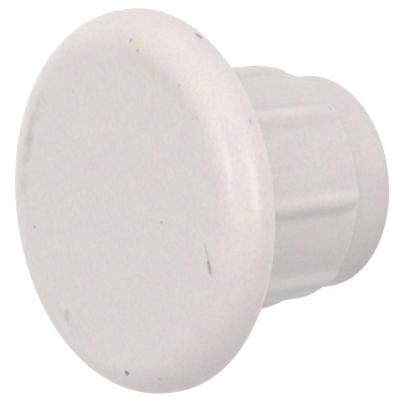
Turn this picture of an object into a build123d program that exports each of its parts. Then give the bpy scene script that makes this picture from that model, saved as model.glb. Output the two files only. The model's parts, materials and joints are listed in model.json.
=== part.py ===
"""A push-in pipe plug, moulded in one piece.

The plug stands on its nose. The origin is the centre of the nose's end, +Z runs along the axis to the
head's face, and +X lies midway between two ribs. All sizes are in millimetres.
"""

from build123d import *
from math import asin, degrees, hypot
import os

# Head
HEAD_DIAMETER = 25.0
HEAD_THICKNESS = 3.15
RIM_RADIUS = 2.2
SEAT_EDGE_BEVEL = 0.3

# Core of the shank, from the seat under the head to the step
CORE_DIAMETER = 15.4
CORE_LENGTH = 11.1

# Smooth nose past the step
STEP_DEPTH = 0.5
STEP_EDGE_BEVEL = 0.15
NOSE_LENGTH = 3.4
NOSE_EDGE_BEVEL = 0.35

# Grip ribs along the core
RIB_COUNT = 8
RIB_HEIGHT = 0.55
RIB_CREST_RADIUS = 0.7
RIB_ROOT_RADIUS = 0.9
RIB_LEAD_IN = 2.6
RIB_TIP_HEIGHT = 0.15

# Blind hollow that opens at the nose
HOLLOW_WALL = 2.1
HOLLOW_FLOOR = 3.3
HOLLOW_FLOOR_BEVEL = 0.5
HOLLOW_MOUTH_BEVEL = 0.3

# Radii and heights that follow from the sizes above
head_radius = HEAD_DIAMETER / 2
core_radius = CORE_DIAMETER / 2
nose_radius = core_radius - STEP_DEPTH
hollow_radius = nose_radius - HOLLOW_WALL
step_height = NOSE_LENGTH
seat_height = step_height + CORE_LENGTH
face_height = seat_height + HEAD_THICKNESS
hollow_height = face_height - HOLLOW_FLOOR

# A rib is a round bar, partly sunk in the core. Over the lead-in the bar bends inwards on an arc, and its
# crest drops to the tip's height at the step, which cuts the bar off.
bar_radius = core_radius + RIB_HEIGHT - RIB_CREST_RADIUS
bend_height = step_height + RIB_LEAD_IN
crest_drop = RIB_HEIGHT - RIB_TIP_HEIGHT
crest_bend = (RIB_LEAD_IN**2 + crest_drop**2) / (2 * crest_drop)
bar_bend = crest_bend - RIB_CREST_RADIUS
bend_angle = degrees(asin(RIB_LEAD_IN / crest_bend))
rib_pitch = 360 / RIB_COUNT

ON_WALL = 1e-3


def corner(section, radius, height):
    """The corner of a half section that is nearest to a radius and a height."""
    return section.vertices().sort_by_distance((radius, height))[0]


def on_core_wall(edge):
    """Whether an edge lies on the core's round wall, between the step and the seat."""
    middle = edge @ 0.5
    between = step_height + ON_WALL < middle.Z < seat_height - ON_WALL
    return between and abs(hypot(middle.X, middle.Y) - core_radius) < ON_WALL


# One rib, from the middle of the head to the step
with BuildPart() as rib:
    with BuildLine(Plane.XZ) as run:
        bar = Line((bar_radius, face_height - HEAD_THICKNESS / 2), (bar_radius, bend_height))
        JernArc(bar @ 1, bar % 1, bar_bend, -2 * bend_angle)
    with BuildSketch(Plane(bar @ 0, z_dir=bar % 0)):
        Circle(RIB_CREST_RADIUS)
    sweep(path=run.wire())
    split(bisect_by=Plane.XY.offset(step_height), keep=Keep.TOP)

with BuildPart() as pipe_plug:
    # Head, core, nose and hollow, turned about the axis
    with BuildSketch(Plane.XZ) as half:
        with BuildLine():
            Polyline(
                (0, face_height),
                (head_radius, face_height),
                (head_radius, seat_height),
                (core_radius, seat_height),
                (core_radius, step_height),
                (nose_radius, step_height),
                (nose_radius, 0),
                (hollow_radius, 0),
                (hollow_radius, hollow_height),
                (0, hollow_height),
                close=True,
            )
        make_face()
        fillet(corner(half, head_radius, face_height), RIM_RADIUS)
        chamfer(corner(half, head_radius, seat_height), SEAT_EDGE_BEVEL)
        chamfer(corner(half, nose_radius, 0), NOSE_EDGE_BEVEL)
        chamfer(corner(half, hollow_radius, 0), HOLLOW_MOUTH_BEVEL)
        chamfer(corner(half, hollow_radius, hollow_height), HOLLOW_FLOOR_BEVEL)
    revolve(axis=Axis.Z)

    # Ribs round the core, blended into its wall
    with PolarLocations(0, RIB_COUNT, start_angle=rib_pitch / 2):
        add(rib.part)
    fillet(pipe_plug.edges(Select.NEW).filter_by(on_core_wall), RIB_ROOT_RADIUS)

    # Bevelled edge of the step, over the core and the rib tips
    step = pipe_plug.faces().filter_by(GeomType.PLANE).sort_by(Axis.Z)[1]
    chamfer(step.outer_wire().edges(), STEP_EDGE_BEVEL)

os.makedirs("parts", exist_ok=True)
pipe_plug.part.label = "pipe_plug"
export_step(pipe_plug.part, "parts/pipe_plug.step")
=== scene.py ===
"""Looks of the pipe plug: one moulded piece of off-white plastic, seen from above its head.

Shapes are worked out in millimetres and placed in metres. The plug stands on its nose, with its axis on +Z.
"""

import json
from math import acos, atan2, cos, hypot, pi, radians, sin, sqrt

import bmesh
import bpy
from mathutils import Matrix, Vector, noise


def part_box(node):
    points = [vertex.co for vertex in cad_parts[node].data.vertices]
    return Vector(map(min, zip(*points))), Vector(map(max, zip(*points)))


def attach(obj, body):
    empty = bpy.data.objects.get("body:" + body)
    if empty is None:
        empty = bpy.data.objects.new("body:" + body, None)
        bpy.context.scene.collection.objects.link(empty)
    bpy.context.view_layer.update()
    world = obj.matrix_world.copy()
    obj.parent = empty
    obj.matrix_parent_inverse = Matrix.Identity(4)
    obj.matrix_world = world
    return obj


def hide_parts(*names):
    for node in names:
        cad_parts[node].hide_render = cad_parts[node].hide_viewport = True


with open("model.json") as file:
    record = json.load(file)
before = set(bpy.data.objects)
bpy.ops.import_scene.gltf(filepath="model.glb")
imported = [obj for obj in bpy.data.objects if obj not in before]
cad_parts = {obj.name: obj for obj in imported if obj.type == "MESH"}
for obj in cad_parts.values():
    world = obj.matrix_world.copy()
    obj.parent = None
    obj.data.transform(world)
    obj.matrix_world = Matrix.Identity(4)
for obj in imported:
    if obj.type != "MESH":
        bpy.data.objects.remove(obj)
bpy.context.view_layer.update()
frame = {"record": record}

MM = 0.001

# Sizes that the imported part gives
mounts = {mount["name"]: mount for mount in frame["record"]["mounts"]}
head_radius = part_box("pipe_plug")[1].x / MM
face_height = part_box("pipe_plug")[1].z / MM
seat_height = mounts["seat"]["pos_m"][2] / MM
step_height = seat_height - mounts["rib_grip"]["dims"]["length_mm"]
rib_radius = mounts["rib_grip"]["dims"]["r_mm"]
nose_radius = mounts["nose"]["dims"]["r_mm"]

# Other sizes of the moulding
RIM_RADIUS = 2.2
SEAT_EDGE_RADIUS = 0.5
RIB_COUNT = 8
RIB_HEIGHT = 0.55
RIB_CREST_RADIUS = 0.7
RIB_ROOT_RADIUS = 0.9
RIB_LEAD_IN = 2.6
RIB_TIP_HEIGHT = 0.15
STEP_EDGE_RADIUS = 0.25
NOSE_EDGE_RADIUS = 0.5
HOLLOW_WALL = 2.1
HOLLOW_FLOOR = 3.3
HOLLOW_EDGE_RADIUS = 0.3

core_radius = rib_radius - RIB_HEIGHT
flat_radius = head_radius - RIM_RADIUS
hollow_radius = nose_radius - HOLLOW_WALL
hollow_height = face_height - HOLLOW_FLOOR
mouth_radius = hollow_radius + HOLLOW_EDGE_RADIUS
bend_height = step_height + RIB_LEAD_IN
crest_drop = RIB_HEIGHT - RIB_TIP_HEIGHT
crest_bend = (RIB_LEAD_IN**2 + crest_drop**2) / (2 * crest_drop)

# Mesh fineness: divisions round the axis, and rings along each stretch of the half section
SEGMENTS_PER_RIB = 40
FACE_RINGS = 52
RIM_RINGS = 30
SIDE_RINGS = 3
SEAT_EDGE_RINGS = 8
SEAT_RINGS = 8
CORE_RINGS = 14
LEAD_IN_RINGS = 24
STEP_EDGE_RINGS = 8
STEP_RINGS = 3
NOSE_RINGS = 8
NOSE_EDGE_RINGS = 10
NOSE_END_RINGS = 4
HOLLOW_EDGE_RINGS = 6
HOLLOW_WALL_RINGS = 12
HOLLOW_FLOOR_RINGS = 8
MARK_CUTS = 3
SHARP_ANGLE = radians(40)

segments = RIB_COUNT * SEGMENTS_PER_RIB

# The photo's view: the head's face in pixels, and the camera's angles
PHOTO_SIZE = 400
FOCAL_PX = 2800.0
HEAD_RADIUS_PX = 194.46
FACE_CENTRE_PX = (114.5, 205.0)
CAMERA_AZIMUTH = radians(-102.45)
CAMERA_ELEVATION = radians(38.74)
CAMERA_ROLL = radians(-96.8)
SENSOR_WIDTH = 36.0


def direction(azimuth, elevation):
    """The unit vector that points to an azimuth from +X and an elevation over the floor."""
    flat = cos(elevation)
    return Vector((flat * cos(azimuth), flat * sin(azimuth), sin(elevation)))


def on_face(radius, azimuth, below=0.0):
    """A point at the face's height or below it, from its distance to the axis and its azimuth in degrees."""
    angle = radians(azimuth)
    return Vector((radius * cos(angle), radius * sin(angle), face_height - below))


# Wear: a scratch whose width and depth grow along its run, and a chip in the side of the head. The opening
# says how fast the scratch widens from its ends. A reach says how far round its middle a mark's mesh is
# refined, as a share of the scratch's length or the chip's half width.
SCRATCH_START = on_face(9.21, -121.2)
SCRATCH_END = on_face(10.3, -132.0)
SCRATCH_HALF_WIDTH = (0.06, 0.15)
SCRATCH_DEPTH = (0.02, 0.09)
SCRATCH_OPENING = 8
SCRATCH_REACH = 0.65
CHIP_AZIMUTH = radians(-49.9)
CHIP_HEIGHT = 15.2
CHIP_HALF_SIZE = (0.42, 0.22)
CHIP_DEPTH = 0.13
CHIP_REACH = 2.2
ROUGH_SHARE = 0.5
ROUGH_SCALE = 6.0

scratch_run = SCRATCH_END - SCRATCH_START
scratch_way = scratch_run.normalized()
scratch_turn = atan2(scratch_way.y, scratch_way.x)
chip_centre = head_radius * direction(CHIP_AZIMUTH, 0) + Vector((0, 0, CHIP_HEIGHT))


# The moulding's shape, as rings of (distances from the axis, height) that run from the middle of the face
# round the outside to the hollow's floor


def between(start, end, steps):
    """Evenly spaced values after the start, up to the end."""
    return [start + (end - start) * k / steps for k in range(1, steps + 1)]


def crest_at(height):
    """Distance from the axis to a rib's crest, which bends inwards over the lead-in."""
    past = max(bend_height - height, 0)
    return rib_radius - crest_bend + sqrt(crest_bend**2 - past**2)


def wall_at(angle, crest):
    """Distance from the axis to the ribbed wall, at an angle from the nearest crest."""
    bar = crest - RIB_CREST_RADIUS
    root = core_radius + RIB_ROOT_RADIUS
    reach = RIB_CREST_RADIUS + RIB_ROOT_RADIUS
    root_angle = acos((root**2 + bar**2 - reach**2) / (2 * root * bar))
    if angle >= root_angle:
        return core_radius
    share = RIB_CREST_RADIUS / reach
    across = share * root * sin(root_angle)
    along = bar + share * (root * cos(root_angle) - bar)
    if angle <= atan2(across, along):
        return bar * cos(angle) + sqrt(RIB_CREST_RADIUS**2 - (bar * sin(angle))**2)
    off = root_angle - angle
    return root * cos(off) - sqrt(RIB_ROOT_RADIUS**2 - (root * sin(off))**2)


def ribbed(height):
    """Distances from the axis to the shank's wall all round, at one height."""
    crest = crest_at(height)
    pitch = 2 * pi / RIB_COUNT
    radii = []
    for k in range(segments):
        from_valley = (2 * pi * k / segments) % pitch
        radii.append(wall_at(abs(from_valley - pitch / 2), crest))
    return radii


def circle(radius, height):
    """A ring at one distance from the axis."""
    return [radius] * segments, height


def rounded(radius, height, size, start, end, steps):
    """Rings round an edge: an arc of the half section about (radius, height), between two angles."""
    turns = between(start, end, steps)
    return [circle(radius + size * cos(turn), height + size * sin(turn)) for turn in turns]


def slide(start, end, height, steps):
    """Rings at one height, whose distances change from one list to another."""
    rings = []
    for share in between(0, 1, steps):
        rings.append(([a + (b - a) * share for a, b in zip(start, end)], height))
    return rings


def head_rings():
    """The flat face, the round rim, the short side below it, and the underside with its edge."""
    rim_height = face_height - RIM_RADIUS
    edge_height = seat_height + SEAT_EDGE_RADIUS
    edge_radius = head_radius - SEAT_EDGE_RADIUS
    rings = [circle(radius, face_height) for radius in between(0, flat_radius, FACE_RINGS)]
    rings += rounded(flat_radius, rim_height, RIM_RADIUS, pi / 2, 0, RIM_RINGS)
    rings += [circle(head_radius, height) for height in between(rim_height, edge_height, SIDE_RINGS)]
    rings += rounded(edge_radius, edge_height, SEAT_EDGE_RADIUS, 0, -pi / 2, SEAT_EDGE_RINGS)
    return rings + slide([edge_radius] * segments, ribbed(seat_height), seat_height, SEAT_RINGS)


def core_rings():
    """The ribbed core, and its step with a rounded edge."""
    edge_height = step_height + STEP_EDGE_RADIUS
    heights = between(seat_height, bend_height, CORE_RINGS)
    heights += between(bend_height, edge_height, LEAD_IN_RINGS)
    rings = [(ribbed(height), height) for height in heights]
    tip = ribbed(edge_height)
    for turn in between(0, pi / 2, STEP_EDGE_RINGS):
        inset = STEP_EDGE_RADIUS * (1 - cos(turn))
        rings.append(([radius - inset for radius in tip], edge_height - STEP_EDGE_RADIUS * sin(turn)))
    return rings + slide(rings[-1][0], [nose_radius] * segments, step_height, STEP_RINGS)


def nose_rings():
    """The smooth nose, its rounded edge, and the flat end that the plug stands on."""
    end_radius = nose_radius - NOSE_EDGE_RADIUS
    rings = [circle(nose_radius, height) for height in between(step_height, NOSE_EDGE_RADIUS, NOSE_RINGS)]
    rings += rounded(end_radius, NOSE_EDGE_RADIUS, NOSE_EDGE_RADIUS, 0, -pi / 2, NOSE_EDGE_RINGS)
    return rings + [circle(radius, 0) for radius in between(end_radius, mouth_radius, NOSE_END_RINGS)]


def hollow_rings():
    """The hollow: its mouth's edge, its wall and its floor, up to the last ring round the axis."""
    corner_radius = hollow_radius - HOLLOW_EDGE_RADIUS
    corner_height = hollow_height - HOLLOW_EDGE_RADIUS
    wall_heights = between(HOLLOW_EDGE_RADIUS, corner_height, HOLLOW_WALL_RINGS)
    floor_radii = between(corner_radius, 0, HOLLOW_FLOOR_RINGS)[:-1]
    rings = rounded(mouth_radius, HOLLOW_EDGE_RADIUS, HOLLOW_EDGE_RADIUS, -pi / 2, -pi, HOLLOW_EDGE_RINGS)
    rings += [circle(hollow_radius, height) for height in wall_heights]
    rings += rounded(corner_radius, corner_height, HOLLOW_EDGE_RADIUS, 0, pi / 2, HOLLOW_EDGE_RINGS)
    return rings + [circle(radius, hollow_height) for radius in floor_radii]


def refine(bm, centre, reach):
    """Divides the faces near a point, so that a small mark can be cut into them."""
    near = [face for face in bm.faces if (face.calc_center_median() / MM - centre).length < reach]
    edges = list(dict.fromkeys(edge for face in near for edge in face.edges))
    bmesh.ops.subdivide_edges(bm, edges=edges, cuts=MARK_CUTS, use_grid_fill=True)


def broken(spot):
    """A factor about 1 that makes a mark's floor uneven."""
    return 1 + ROUGH_SHARE * noise.noise(spot * ROUGH_SCALE)


def part_way(pair, share):
    """The value at a share of the way between the two of a pair."""
    return pair[0] + (pair[1] - pair[0]) * share


def cut_scratch(bm):
    """Sinks the scratch into the face: narrow and shallow where it starts, wider and deeper at its end."""
    refine(bm, (SCRATCH_START + SCRATCH_END) / 2, SCRATCH_REACH * scratch_run.length)
    for vert in bm.verts:
        spot = vert.co / MM
        share = (spot - SCRATCH_START).dot(scratch_way) / scratch_run.length
        if not 0 < share < 1:
            continue
        across = (spot - SCRATCH_START - share * scratch_run).length
        half = part_way(SCRATCH_HALF_WIDTH, share)
        half *= min(1, sqrt(SCRATCH_OPENING * (1 - share)), sqrt(SCRATCH_OPENING * share))
        if across < half:
            depth = part_way(SCRATCH_DEPTH, share)
            vert.co.z -= depth * (1 - (across / half)**2) * broken(spot) * MM


def cut_chip(bm):
    """Sinks the chip into the side of the head."""
    reach = CHIP_REACH * CHIP_HALF_SIZE[0]
    refine(bm, chip_centre, reach)
    inwards = -direction(CHIP_AZIMUTH, 0)
    sideways = Vector((-inwards.y, inwards.x, 0))
    for vert in bm.verts:
        off = vert.co / MM - chip_centre
        away = hypot(off.dot(sideways) / CHIP_HALF_SIZE[0], off.z / CHIP_HALF_SIZE[1])
        if off.length < reach and away < 1:
            vert.co += inwards * (CHIP_DEPTH * (1 - away**2) * broken(vert.co / MM) * MM)


def build_plug():
    """The whole plug as one closed skin."""
    bm = bmesh.new()
    loops = []
    for radii, height in head_rings() + core_rings() + nose_rings() + hollow_rings():
        loop = []
        for k, radius in enumerate(radii):
            angle = 2 * pi * k / segments
            loop.append(bm.verts.new((radius * cos(angle) * MM, radius * sin(angle) * MM, height * MM)))
        loops.append(loop)
    for upper, lower in zip(loops, loops[1:]):
        for k in range(segments):
            following = (k + 1) % segments
            bm.faces.new((upper[k], lower[k], lower[following], upper[following]))
    for loop, height in ((loops[0], face_height), (loops[-1], hollow_height)):
        middle = bm.verts.new((0, 0, height * MM))
        for k in range(segments):
            bm.faces.new((middle, loop[k], loop[(k + 1) % segments]))
    cut_scratch(bm)
    cut_chip(bm)
    bmesh.ops.recalc_face_normals(bm, faces=bm.faces)

    mesh = bpy.data.meshes.new("moulded_plug")
    bm.to_mesh(mesh)
    bm.free()
    mesh.shade_smooth()
    mesh.set_sharp_from_angle(angle=SHARP_ANGLE)
    plug = bpy.data.objects.new("moulded_plug", mesh)
    bpy.context.scene.collection.objects.link(plug)
    return plug


# The plastic's colours
PINKISH = (0.696, 0.645, 0.642, 1)
CREAMY = (0.708, 0.662, 0.632, 1)
GRAIN = (0.50, 0.45, 0.43, 1)
DRAG_LINE = (0.80, 0.77, 0.75, 1)
# The grime colour also paints shade in the ring at the foot of the rim.
GRIME_AND_SHADE = (0.36, 0.31, 0.29, 1)
SOOT = (0.20, 0.155, 0.15, 1)
BURNT = (0.24, 0.18, 0.16, 1)
STAIN = (0.66, 0.58, 0.44, 1)

# Patterns in the plastic. A noise is (scale per millimetre, detail), limits are the two values between which
# a layer sets in or fades, and a cover is how much of the colour below a layer hides.
DRIFT_NOISE = (0.5, 3.0)
DRIFT_LIMITS = (0.35, 0.65)
GRAIN_NOISE = (4.5, 3.0)
GRAIN_LIMITS = (0.4, 0.68)
GRAIN_COVER = 0.2
DRAG_STRETCH = (2.6, 2.6, 0.22)
DRAG_NOISE = (1.0, 3.0)
DRAG_LIMITS = (0.45, 0.7)
DRAG_COVER = 0.14
DRAG_FADE = 0.6
SPECK_SCALE = 0.7
SPECK_LIMITS = (0.03, 0.09)
SPECK_COVER = 0.18
SPECK_FREE_SHARE = 0.7

# The satin skin
ROUGHNESS = (0.30, 0.40)
ROUGHNESS_LIMITS = (0.3, 0.7)
BUMP_STRENGTH = 0.25
BUMP_DISTANCE = 0.012
SUBSURFACE_WEIGHT = 0.8
SUBSURFACE_RADIUS = (0.9, 0.74, 0.62)
SUBSURFACE_SCALE = 1.6

# Dirt and painted shade in a ring at the foot of the rim, with (azimuth, half length, cover) of its arcs
RING_RADIUS = 9.92
RING_LIMITS = (0.1, 0.75)
RING_ARCS = ((38, 2.4, 0.24), (58, 3.2, 0.24), (-50, 4.5, 0.10), (124, 3.0, 0.08))
ARC_LIMITS = (0.55, 1.0)
BLOTCH_NOISE = (1.3, 4.0)
BLOTCH_LIMITS = (0.3, 0.62)
BLOTCH_LEAST = 0.1

# Marks, each as (centre, half sizes) and, where it needs one, its turn about +Z in radians
RIM_SPOTS = [
    (on_face(10.92, 162.6, below=0.1), (0.23, 0.23, 0.23)),
]
DARK_SPOTS = [
    (on_face(4.89, -119.8), (0.16, 0.16, 0.2)),
    (on_face(9.16, 82.7), (0.15, 0.15, 0.2)),
    (on_face(10.84, -32.0, below=0.07), (0.13, 0.2, 0.2), 0.4),
    (on_face(10.43, -36.8), (0.2, 0.14, 0.2), 0.9),
    (Vector((1.45, -12.41, 15.39)), (0.2, 0.2, 0.1)),
]
FAINT_SPOTS = [
    (on_face(8.21, 8.8), (0.2, 0.14, 0.2), 0.3),
    (on_face(10.61, -62.1), (0.14, 0.2, 0.2)),
    (on_face(10.52, -75.6), (0.16, 0.12, 0.2)),
    (on_face(11.59, 177.9, below=0.42), (0.2, 0.2, 0.2)),
    (on_face(9.47, 123.7), (0.55, 0.34, 0.3), radians(150)),
    (Vector((3.15, -7.42, 4.08)), (0.3, 0.3, 0.2)),
]
SCRATCH_MIDDLE = [
    (SCRATCH_START + 0.45 * scratch_run, (1.0, 0.11, 0.3), scratch_turn),
]
SCRATCH_DEEP_END = [
    (SCRATCH_START + 0.74 * scratch_run, (0.62, 0.2, 0.3), scratch_turn),
]
CHIP_FLOOR = [
    (chip_centre, (0.36, 0.36, 0.2)),
    (chip_centre + Vector((0.22, 0.17, 0.05)), (0.2, 0.2, 0.1)),
]
RIM_STAINS = [
    (on_face(10.6, -36), (0.9, 0.7, 0.6), 0.5),
    (on_face(9.7, -47), (0.6, 0.5, 0.6)),
    (on_face(9.75, 27), (0.45, 0.4, 0.4)),
]
MARK_LIMITS = (0.55, 1.1)
RAGGED_NOISE = (5.0, 2.0)
RAGGED_SHARE = 0.9
NOISE_MEAN = 0.5

# Each group of marks with its colour and cover, the lowest layer first
MARKS = (
    (SOOT, 0.8, RIM_SPOTS),
    (GRIME_AND_SHADE, 0.55, DARK_SPOTS),
    (GRIME_AND_SHADE, 0.3, FAINT_SPOTS),
    (GRIME_AND_SHADE, 0.3, SCRATCH_MIDDLE),
    (GRIME_AND_SHADE, 0.62, SCRATCH_DEEP_END),
    (BURNT, 0.55, CHIP_FLOOR),
    (STAIN, 0.28, RIM_STAINS),
)


# Materials


def add_node(tree, kind, inputs=None, **settings):
    """A new node with its settings, and its inputs set to values or linked to sockets."""
    node = tree.nodes.new(kind)
    for name, value in settings.items():
        setattr(node, name, value)
    for name, value in (inputs or {}).items():
        if isinstance(value, bpy.types.NodeSocket):
            tree.links.new(value, node.inputs[name])
        else:
            node.inputs[name].default_value = value
    return node


def maths(tree, operation, a, b=0.0):
    """The result of an operation on one or two sockets or values."""
    return add_node(tree, "ShaderNodeMath", {0: a, 1: b}, operation=operation).outputs[0]


def length(tree, vector):
    """The length of a vector."""
    return add_node(tree, "ShaderNodeVectorMath", {0: vector}, operation="LENGTH").outputs["Value"]


def ramp(tree, value, limits, results=(0.0, 1.0)):
    """A smooth change from one result to the other while a value goes from one limit to the other."""
    node = add_node(tree, "ShaderNodeMapRange", {
        "Value": value,
        "From Min": limits[0], "From Max": limits[1],
        "To Min": results[0], "To Max": results[1],
    }, interpolation_type="SMOOTHSTEP")
    return node.outputs["Result"]


def speckle(tree, place, scale, detail):
    """A noise, with a pitch of about one over its scale."""
    inputs = {"Vector": place, "Scale": scale, "Detail": detail}
    return add_node(tree, "ShaderNodeTexNoise", inputs).outputs["Fac"]


def paint(tree, under, colour, cover):
    """A colour laid over another one."""
    return add_node(tree, "ShaderNodeMix", {0: cover, 6: under, 7: colour}, data_type="RGBA").outputs[2]


def distance_to(tree, spot, centre, half_size, turn=0.0):
    """Distance to a mark's centre, which is 1 at the mark's edge."""
    local = add_node(tree, "ShaderNodeMapping", {
        "Vector": spot, "Location": centre, "Rotation": (0, 0, turn), "Scale": half_size,
    }, vector_type="TEXTURE")
    return length(tree, local.outputs[0])


def base_tone(tree, spot, grain):
    """Off-white that drifts between pink and cream, with fine grain."""
    drift = ramp(tree, speckle(tree, spot, *DRIFT_NOISE), DRIFT_LIMITS)
    colour = paint(tree, PINKISH, CREAMY, drift)
    return paint(tree, colour, GRAIN, ramp(tree, grain, GRAIN_LIMITS, (0.0, GRAIN_COVER)))


def lay_drag_lines(tree, colour, drag, on_shank):
    """Pale lines along the shank, left by the mould."""
    lines = ramp(tree, drag, DRAG_LIMITS, (0.0, DRAG_COVER))
    return paint(tree, colour, DRAG_LINE, maths(tree, "MULTIPLY", lines, on_shank))


def lay_specks(tree, colour, spot):
    """Tiny specks in the plastic, one in each cell that is not in the free share."""
    cells = add_node(tree, "ShaderNodeTexVoronoi", {"Vector": spot, "Scale": SPECK_SCALE})
    draw = add_node(tree, "ShaderNodeSeparateColor", {0: cells.outputs["Color"]}).outputs["Red"]
    dots = ramp(tree, cells.outputs["Distance"], SPECK_LIMITS, (SPECK_COVER, 0.0))
    chosen = maths(tree, "GREATER_THAN", draw, SPECK_FREE_SHARE)
    return paint(tree, colour, GRIME_AND_SHADE, maths(tree, "MULTIPLY", dots, chosen))


def lay_rim_dirt_and_shade(tree, colour, spot):
    """Blotchy dirt and painted shade in arcs along the foot of the rim."""
    flat = add_node(tree, "ShaderNodeVectorMath", {0: spot, 1: (1, 1, 0)}, operation="MULTIPLY").outputs[0]
    off_ring = maths(tree, "ABSOLUTE", maths(tree, "SUBTRACT", length(tree, flat), RING_RADIUS))
    band = ramp(tree, off_ring, RING_LIMITS, (1.0, 0.0))
    blotch = ramp(tree, speckle(tree, spot, *BLOTCH_NOISE), BLOTCH_LIMITS, (BLOTCH_LEAST, 1.0))
    band = maths(tree, "MULTIPLY", band, blotch)
    # The arcs are dirt and painted shade, darkest on the side away from the lamps.
    for azimuth, half_length, cover in RING_ARCS:
        away = distance_to(tree, spot, on_face(RING_RADIUS, azimuth), (half_length,) * 3)
        arc = ramp(tree, away, ARC_LIMITS, (cover, 0.0))
        colour = paint(tree, colour, GRIME_AND_SHADE, maths(tree, "MULTIPLY", band, arc))
    return colour


def lay_marks(tree, colour, spot):
    """Spots, stains and the dirt in the scratch and the chip, all with ragged edges."""
    uneven = maths(tree, "SUBTRACT", speckle(tree, spot, *RAGGED_NOISE), NOISE_MEAN)
    ragged = maths(tree, "MULTIPLY", uneven, RAGGED_SHARE)
    for tint, cover, places in MARKS:
        away = distance_to(tree, spot, *places[0])
        for place in places[1:]:
            away = maths(tree, "MINIMUM", away, distance_to(tree, spot, *place))
        away = maths(tree, "ADD", away, ragged)
        colour = paint(tree, colour, tint, ramp(tree, away, MARK_LIMITS, (cover, 0.0)))
    return colour


def plug_plastic():
    """Off-white plastic with a satin skin, fine grain, drag lines, specks, grime, wear and painted shade."""
    material = bpy.data.materials.new("plug_plastic")
    material.use_nodes = True
    tree = material.node_tree
    shader = tree.nodes["Principled BSDF"]
    place = add_node(tree, "ShaderNodeTexCoord").outputs["Object"]
    spot = add_node(tree, "ShaderNodeVectorMath", {0: place, "Scale": 1 / MM}, operation="SCALE").outputs[0]
    height = add_node(tree, "ShaderNodeSeparateXYZ", {0: spot}).outputs["Z"]
    on_shank = ramp(tree, height, (seat_height - DRAG_FADE, seat_height), (1.0, 0.0))
    drawn_out = add_node(tree, "ShaderNodeMapping", {"Vector": spot, "Scale": DRAG_STRETCH}).outputs[0]
    drag = speckle(tree, drawn_out, *DRAG_NOISE)
    grain = speckle(tree, spot, *GRAIN_NOISE)

    # Colour, layer on layer
    colour = base_tone(tree, spot, grain)
    colour = lay_drag_lines(tree, colour, drag, on_shank)
    colour = lay_specks(tree, colour, spot)
    colour = lay_rim_dirt_and_shade(tree, colour, spot)
    colour = lay_marks(tree, colour, spot)
    tree.links.new(colour, shader.inputs["Base Color"])

    # Satin skin, a little uneven
    tree.links.new(ramp(tree, grain, ROUGHNESS_LIMITS, ROUGHNESS), shader.inputs["Roughness"])
    rough = maths(tree, "ADD", grain, maths(tree, "MULTIPLY", drag, on_shank))
    skin = add_node(tree, "ShaderNodeBump", {
        "Height": rough, "Strength": BUMP_STRENGTH, "Distance": BUMP_DISTANCE * MM,
    })
    tree.links.new(skin.outputs[0], shader.inputs["Normal"])
    shader.inputs["Subsurface Weight"].default_value = SUBSURFACE_WEIGHT
    shader.inputs["Subsurface Radius"].default_value = SUBSURFACE_RADIUS
    shader.inputs["Subsurface Scale"].default_value = SUBSURFACE_SCALE * MM
    return material


def background_rays(tree):
    """1 for the rays that look at the background: from the camera, in a reflection or through something."""
    path = add_node(tree, "ShaderNodeLightPath")
    seen = maths(tree, "MAXIMUM", path.outputs["Is Camera Ray"], path.outputs["Is Glossy Ray"])
    return maths(tree, "MAXIMUM", seen, path.outputs["Is Transmission Ray"])


# Floor, light and camera

WHITE = 1.0
FLOOR_SIZE = 2.0
FLOOR_GLOW = 0.88
FLOOR_CATCH = 0.2
FLOOR_BOUNCE = 0.64
AMBIENT = 0.92
AMBIENT_LEAN = 0.2
BRIGHT_SIDE = radians(-12)
DARK_SIDE = radians(168)
DARK_LIMITS = (0.55, 0.9)
DARK_SHARE = 0.25
LAMP_DISTANCE = 0.30
LAMP_TARGET = Vector((0, 0, 12 * MM))


def grey(level):
    """A colour with no tint."""
    return (level, level, level, 1)


def stage_floor():
    """A pale floor, white to the eye, that keeps a soft shadow."""
    bpy.ops.mesh.primitive_plane_add(size=FLOOR_SIZE, location=(0, 0, 0))
    floor = bpy.context.object
    floor.name = "stage_floor"
    material = bpy.data.materials.new("stage_white")
    material.use_nodes = True
    tree = material.node_tree
    tree.nodes.clear()
    glow = add_node(tree, "ShaderNodeEmission", {"Strength": FLOOR_GLOW})
    catch = add_node(tree, "ShaderNodeBsdfDiffuse", {"Color": grey(FLOOR_CATCH)})
    white = add_node(tree, "ShaderNodeAddShader", {0: glow.outputs[0], 1: catch.outputs[0]})
    pale = add_node(tree, "ShaderNodeBsdfDiffuse", {"Color": grey(FLOOR_BOUNCE)})
    mix = add_node(tree, "ShaderNodeMixShader", {
        0: background_rays(tree), 1: pale.outputs[0], 2: white.outputs[0],
    })
    add_node(tree, "ShaderNodeOutputMaterial", {"Surface": mix.outputs[0]})
    floor.data.materials.append(material)


def soft_light(name, azimuth, elevation, width, height, level):
    """A soft box that lights a facing surface at the plug to a level, where 1 shows a colour as written."""
    lamp = bpy.data.lights.new(name, "AREA")
    lamp.shape = "RECTANGLE"
    lamp.size = width
    lamp.size_y = height
    lamp.energy = level * (pi * LAMP_DISTANCE)**2
    box = bpy.data.objects.new(name, lamp)
    away = direction(radians(azimuth), radians(elevation))
    box.location = LAMP_TARGET + away * LAMP_DISTANCE
    box.rotation_euler = away.to_track_quat("Z", "Y").to_euler()
    box.visible_camera = False
    bpy.context.scene.collection.objects.link(box)


def facing(tree, way, azimuth):
    """How far a direction faces an azimuth: 1 towards it, and -1 away from it."""
    inputs = {0: way, 1: direction(azimuth, 0)}
    return add_node(tree, "ShaderNodeVectorMath", inputs, operation="DOT_PRODUCT").outputs["Value"]


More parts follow.
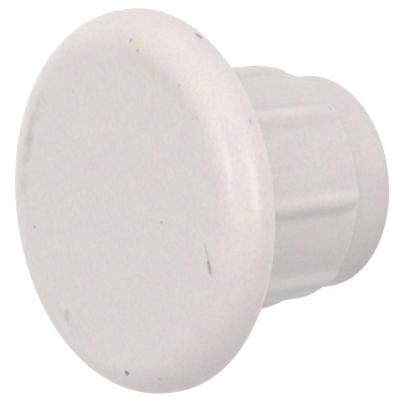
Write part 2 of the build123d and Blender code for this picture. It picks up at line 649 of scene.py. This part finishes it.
def sky():
    """Soft light from all round, with a dark card on one side, and white to the eye and to reflections."""
    world = bpy.data.worlds.new("studio")
    world.use_nodes = True
    tree = world.node_tree
    way = add_node(tree, "ShaderNodeTexCoord").outputs["Generated"]
    lean = add_node(tree, "ShaderNodeMapRange", {
        "Value": facing(tree, way, BRIGHT_SIDE), "From Min": -1.0,
        "To Min": AMBIENT * (1 - AMBIENT_LEAN), "To Max": AMBIENT * (1 + AMBIENT_LEAN),
    })
    card = ramp(tree, facing(tree, way, DARK_SIDE), DARK_LIMITS, (1.0, DARK_SHARE))
    soft = maths(tree, "MULTIPLY", lean.outputs["Result"], card)
    level = add_node(tree, "ShaderNodeMix", {0: background_rays(tree), 2: soft, 3: WHITE})
    background = tree.nodes["Background"]
    background.inputs["Color"].default_value = grey(WHITE)
    tree.links.new(level.outputs[0], background.inputs["Strength"])
    bpy.context.scene.world = world


def place_camera():
    """The photo's camera: the face's centre and size fall where the photo has them."""
    camera = bpy.data.cameras.new("camera")
    camera.sensor_width = SENSOR_WIDTH
    camera.lens = FOCAL_PX / PHOTO_SIZE * SENSOR_WIDTH
    depth = FOCAL_PX * head_radius * MM / HEAD_RADIUS_PX
    to_camera = direction(CAMERA_AZIMUTH, CAMERA_ELEVATION)
    turn = to_camera.to_track_quat("Z", "Y").to_matrix().to_4x4() @ Matrix.Rotation(CAMERA_ROLL, 4, "Z")
    right = (PHOTO_SIZE / 2 - FACE_CENTRE_PX[0]) / FOCAL_PX * depth
    up = (FACE_CENTRE_PX[1] - PHOTO_SIZE / 2) / FOCAL_PX * depth
    face_centre = Vector((0, 0, face_height * MM))
    spot = face_centre + turn @ Vector((right, up, depth))
    eye = bpy.data.objects.new("camera", camera)
    eye.matrix_world = Matrix.Translation(spot) @ turn
    bpy.context.scene.collection.objects.link(eye)
    bpy.context.scene.camera = eye


plug = build_plug()
plug.data.materials.append(plug_plastic())
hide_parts("pipe_plug")
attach(plug, "root")

stage_floor()
sky()
soft_light("front", azimuth=-100, elevation=-1, width=0.16, height=0.014, level=0.27)
soft_light("side", azimuth=-45, elevation=-1, width=0.25, height=0.014, level=0.05)
soft_light("high", azimuth=-72, elevation=70, width=0.09, height=0.03, level=0.16)
place_camera()
bpy.context.scene.view_settings.view_transform = "Standard"
